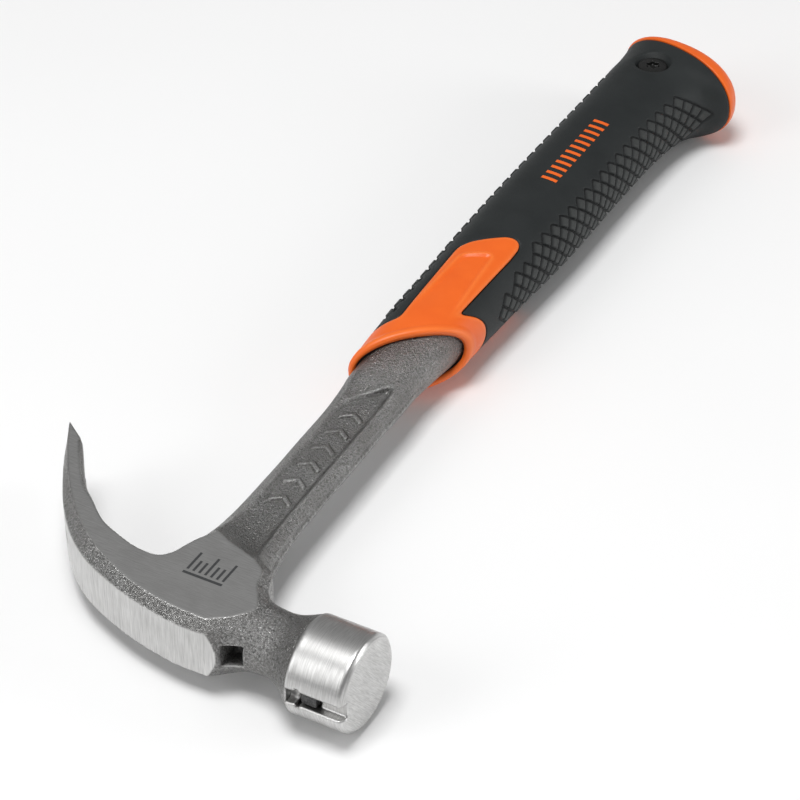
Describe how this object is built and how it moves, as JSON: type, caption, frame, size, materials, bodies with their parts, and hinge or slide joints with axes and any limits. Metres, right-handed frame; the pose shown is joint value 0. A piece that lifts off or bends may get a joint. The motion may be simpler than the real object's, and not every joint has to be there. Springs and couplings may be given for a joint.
{
  "type": "claw hammer",
  "caption": "One-piece forged steel claw hammer with a nail-starting groove, a moulded plastic collar and a knurled rubber grip, lying on its side.",
  "frame": {"origin": "centre of the bounding box in X and Y, on the surface the hammer lies on", "axes": "+X out of the striking face, +Y along the handle towards the butt, +Z out of the upper cheek"},
  "size_m": [0.126, 0.3328, 0.0313],
  "materials": {
    "forged_steel": "forged, with satin ground pad, cheeks and poll",
    "magnet": "dark, matt",
    "orange_plastic": "satin moulded",
    "black_rubber": "matt, diamond knurl",
    "black_steel": "black oxide"
  },
  "bodies": {
    "root": {"forged_body": "forged_steel", "nail_magnet": "magnet", "core_sleeve": "orange_plastic", "collar_seal": "black_rubber", "grip_overmould": "black_rubber", "butt_cap": "orange_plastic", "grip_screw": "black_steel", "barrel_nut": "black_steel"}
  },
  "joints": []
}
